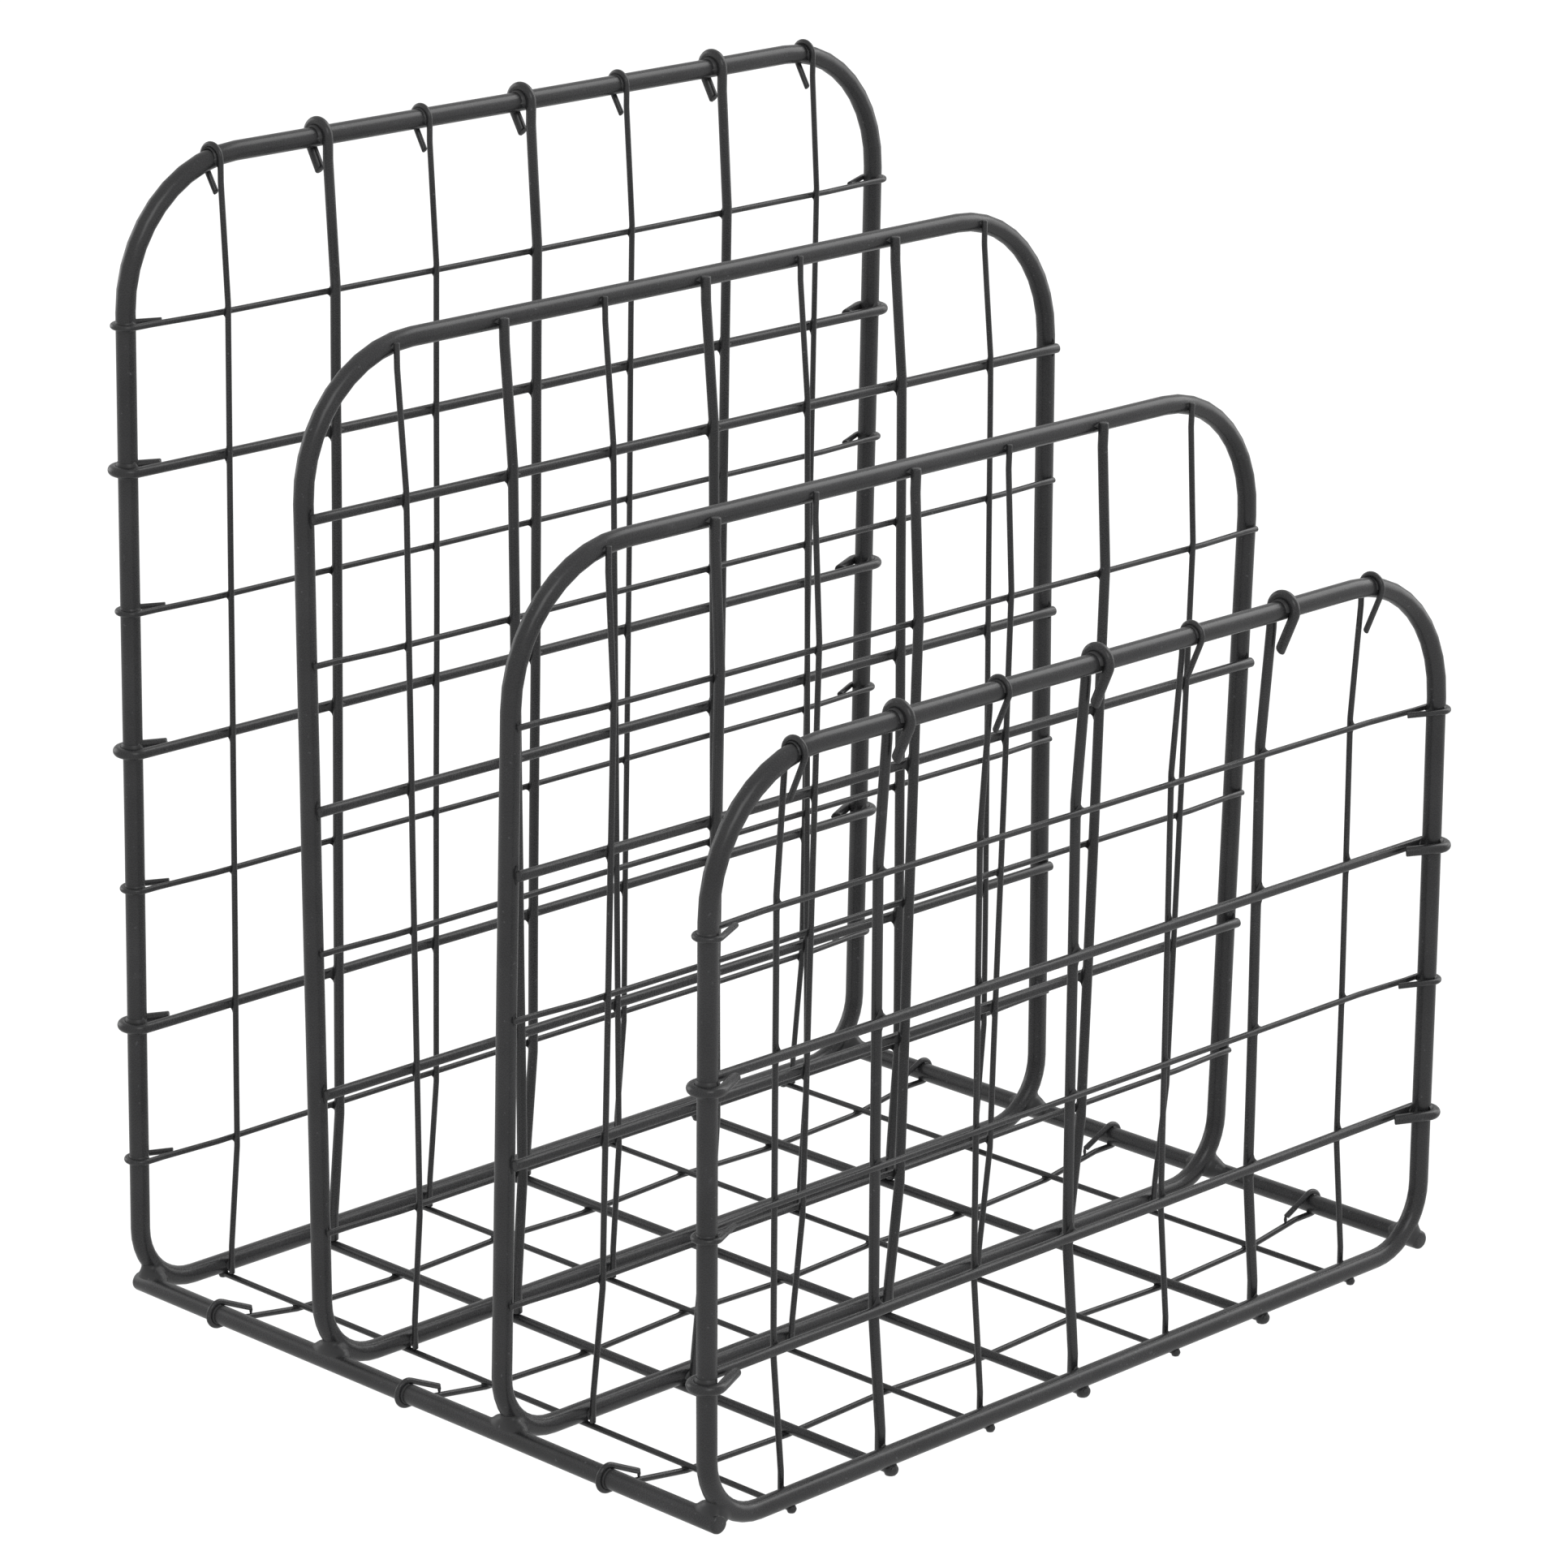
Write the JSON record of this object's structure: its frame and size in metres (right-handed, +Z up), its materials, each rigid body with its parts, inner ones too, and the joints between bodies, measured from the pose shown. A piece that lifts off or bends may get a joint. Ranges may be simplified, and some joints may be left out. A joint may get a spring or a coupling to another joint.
{
  "type": "wire file organizer",
  "caption": "Free-standing welded wire desk organizer: stepped grid panels on two rails and a wire floor hold files and folders upright between them.",
  "frame": {"origin": "on the desk surface, at the middle of the organizer's bounding box", "axes": "+X along the panels to the right seen from the low front panel, +Y from the front panel to the tall back panel, +Z up"},
  "size_m": [0.2552, 0.2008, 0.2835],
  "materials": {
    "bar_coat": "satin",
    "wire_coat": "satin",
    "weld_coat": "satin"
  },
  "bodies": {
    "root": {"back_frame": "bar_coat", "rear_divider_frame": "bar_coat", "front_divider_frame": "bar_coat", "front_frame": "bar_coat", "left_rail": "bar_coat", "right_rail": "bar_coat", "rail_welds": "weld_coat", "back_upright_1": "wire_coat", "back_upright_2": "wire_coat", "back_upright_3": "wire_coat", "back_upright_4": "wire_coat", "back_upright_5": "wire_coat", "back_upright_6": "wire_coat", "back_upright_7": "wire_coat", "rear_divider_upright_1": "wire_coat", "rear_divider_upright_2": "wire_coat", "rear_divider_upright_3": "wire_coat", "rear_divider_upright_4": "wire_coat", "rear_divider_upright_5": "wire_coat", "rear_divider_upright_6": "wire_coat", "rear_divider_upright_7": "wire_coat", "front_divider_upright_1": "wire_coat", "front_divider_upright_2": "wire_coat", "front_divider_upright_3": "wire_coat", "front_divider_upright_4": "wire_coat", "front_divider_upright_5": "wire_coat", "front_divider_upright_6": "wire_coat", "front_divider_upright_7": "wire_coat", "front_upright_1": "wire_coat", "front_upright_2": "wire_coat", "front_upright_3": "wire_coat", "front_upright_4": "wire_coat", "front_upright_5": "wire_coat", "front_upright_6": "wire_coat", "front_upright_7": "wire_coat", "back_crossbar_1": "wire_coat", "back_crossbar_2": "wire_coat", "back_crossbar_3": "wire_coat", "back_crossbar_4": "wire_coat", "back_crossbar_5": "wire_coat", "back_crossbar_6": "wire_coat", "back_crossbar_7": "wire_coat", "rear_divider_crossbar_1": "wire_coat", "rear_divider_crossbar_2": "wire_coat", "rear_divider_crossbar_3": "wire_coat", "rear_divider_crossbar_4": "wire_coat", "rear_divider_crossbar_5": "wire_coat", "rear_divider_crossbar_6": "wire_coat", "front_divider_crossbar_1": "wire_coat", "front_divider_crossbar_2": "wire_coat", "front_divider_crossbar_3": "wire_coat", "front_divider_crossbar_4": "wire_coat", "front_divider_crossbar_5": "wire_coat", "front_crossbar_1": "wire_coat", "front_crossbar_2": "wire_coat", "front_crossbar_3": "wire_coat", "front_crossbar_4": "wire_coat", "floor_thin_wires": "wire_coat", "floor_thick_wires": "wire_coat", "floor_cross_wires": "wire_coat"}
  },
  "joints": []
}
